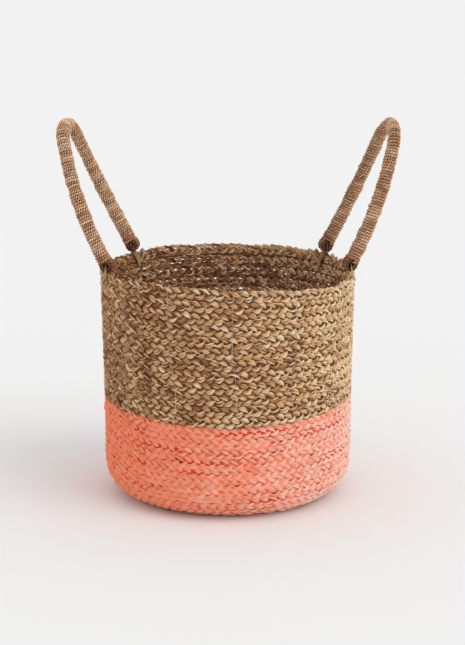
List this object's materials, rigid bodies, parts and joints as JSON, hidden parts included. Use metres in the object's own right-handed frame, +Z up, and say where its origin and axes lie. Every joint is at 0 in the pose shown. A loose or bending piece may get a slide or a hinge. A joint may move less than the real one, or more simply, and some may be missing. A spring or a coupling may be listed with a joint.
{
  "type": "seagrass storage basket",
  "caption": "Round coiled seagrass basket with a painted lower half and rounded bottom corner, and bound arch handles that swing on lashed eyes at the rim.",
  "frame": {"origin": "middle of the underside of the flat base, on the surface the basket stands on", "axes": "+Z up the basket's axis to the rim and handles, +X towards the right handle, -Y the front"},
  "size_m": [0.4352, 0.3275, 0.48],
  "materials": {
    "natural_plait": "bare dried seagrass plait, matt, darker in the gaps",
    "coral_plait": "seagrass plait under thick matt coral paint",
    "stitch_thread": "thin pale sewing thread",
    "handle_core": "bundle of twisted seagrass, reddish brown at the feet",
    "handle_binding": "tight cord binding, matt pinkish brown",
    "lashing_strand": "flat olive seagrass strand"
  },
  "bodies": {
    "basket": {"natural_turn_01": "natural_plait", "natural_turn_02": "natural_plait", "natural_turn_03": "natural_plait", "natural_turn_04": "natural_plait", "natural_turn_05": "natural_plait", "natural_turn_06": "natural_plait", "natural_turn_07": "natural_plait", "natural_turn_08": "natural_plait", "natural_turn_09": "natural_plait", "natural_turn_10": "natural_plait", "natural_turn_11": "natural_plait", "natural_turn_12": "natural_plait", "coral_turn_01": "coral_plait", "coral_turn_02": "coral_plait", "coral_turn_03": "coral_plait", "coral_turn_04": "coral_plait", "coral_turn_05": "coral_plait", "coral_turn_06": "coral_plait", "corner_turn_01": "coral_plait", "corner_turn_02": "coral_plait", "corner_turn_03": "coral_plait", "corner_turn_04": "coral_plait", "corner_turn_05": "coral_plait", "base_coil": "coral_plait", "stitch_thread_01": "stitch_thread", "stitch_thread_02": "stitch_thread", "stitch_thread_03": "stitch_thread", "stitch_thread_04": "stitch_thread", "stitch_thread_05": "stitch_thread", "stitch_thread_06": "stitch_thread", "stitch_thread_07": "stitch_thread", "stitch_thread_08": "stitch_thread", "stitch_thread_09": "stitch_thread", "stitch_thread_10": "stitch_thread", "stitch_thread_11": "stitch_thread", "stitch_thread_12": "stitch_thread", "stitch_thread_13": "stitch_thread", "left_front_lashing": "lashing_strand", "left_back_lashing": "lashing_strand", "right_front_lashing": "lashing_strand", "right_back_lashing": "lashing_strand"},
    "left_handle": {"left_handle_core": "handle_core", "left_handle_binding": "handle_binding"},
    "right_handle": {"right_handle_core": "handle_core", "right_handle_binding": "handle_binding"}
  },
  "joints": [
    {"name": "left_handle_swing", "type": "hinge", "parent": "basket", "child": "left_handle", "pos_m": [-0.1382, 0.02238, 0.3043], "axis": [-0.1599, -0.9871, 0], "range_deg": [-62, 65]},
    {"name": "right_handle_swing", "type": "hinge", "parent": "basket", "child": "right_handle", "pos_m": [0.14133, 0.02492, 0.3043], "axis": [-0.1736, 0.9848, 0], "range_deg": [-62, 65]}
  ]
}
